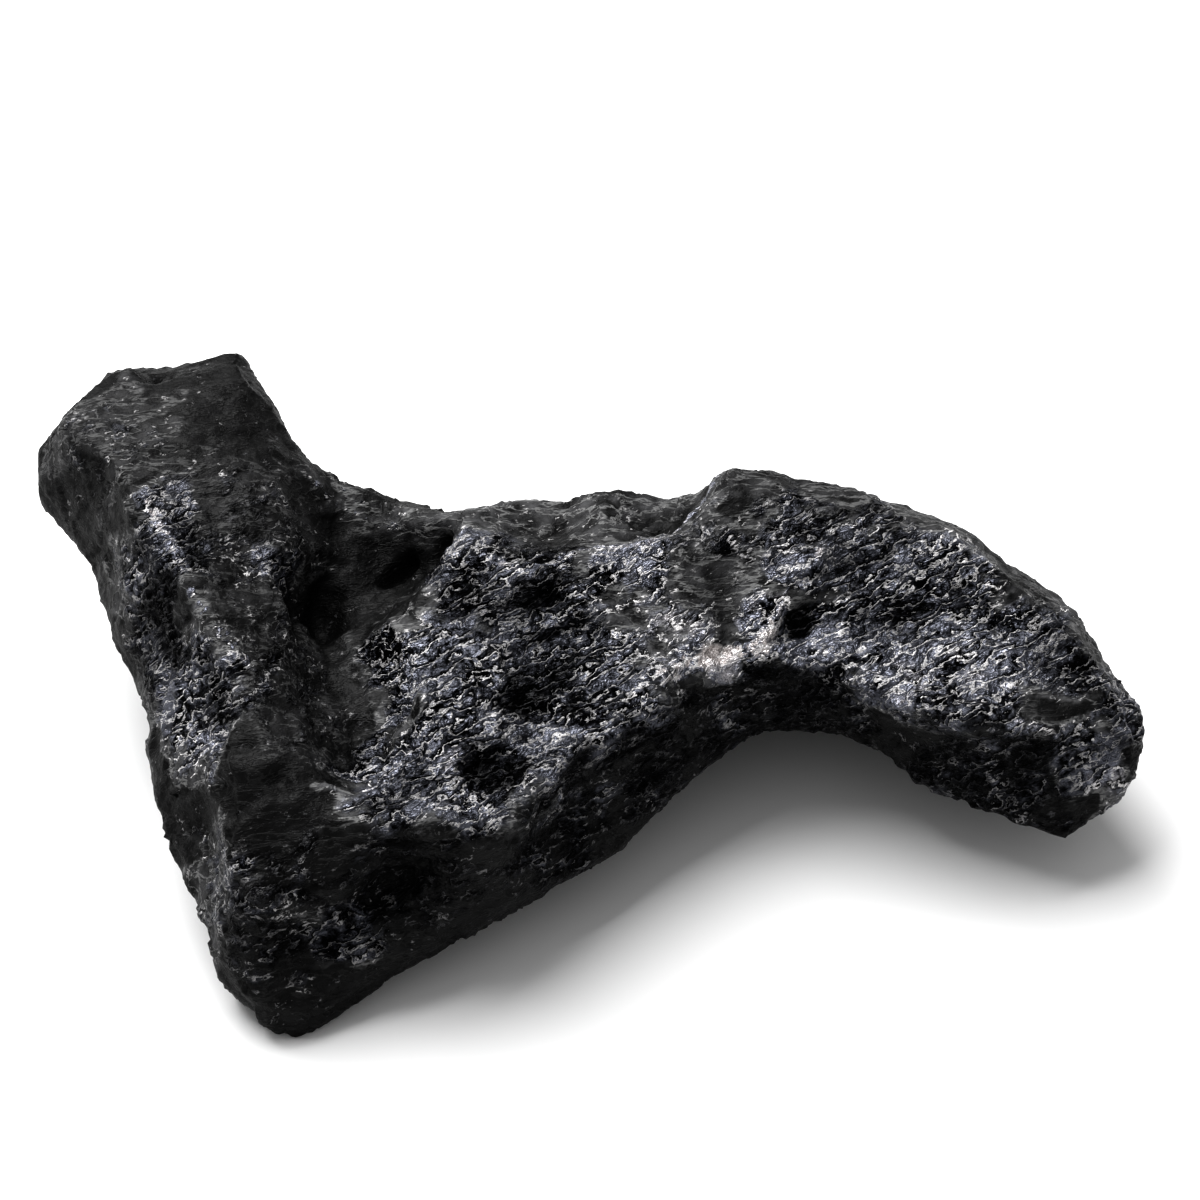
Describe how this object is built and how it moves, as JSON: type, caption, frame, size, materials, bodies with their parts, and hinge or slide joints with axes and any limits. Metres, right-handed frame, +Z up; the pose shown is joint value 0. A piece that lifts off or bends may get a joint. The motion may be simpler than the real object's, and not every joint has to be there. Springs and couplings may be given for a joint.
{
  "type": "iron meteorite fragment",
  "caption": "Bent iron stone: a broad wedge with a blunt tip, and an arm that rises from a foot to a knob, with scalloped, pitted sides.",
  "frame": {"origin": "on the surface that the stone rests on, under the middle of its outline", "axes": "+X along the stone's length from the arm towards the tip, +Y towards its back, +Z up"},
  "size_m": [0.0904, 0.0542, 0.0259],
  "materials": {
    "meteorite": "matte"
  },
  "bodies": {
    "root": {"meteorite": "meteorite"}
  },
  "joints": []
}
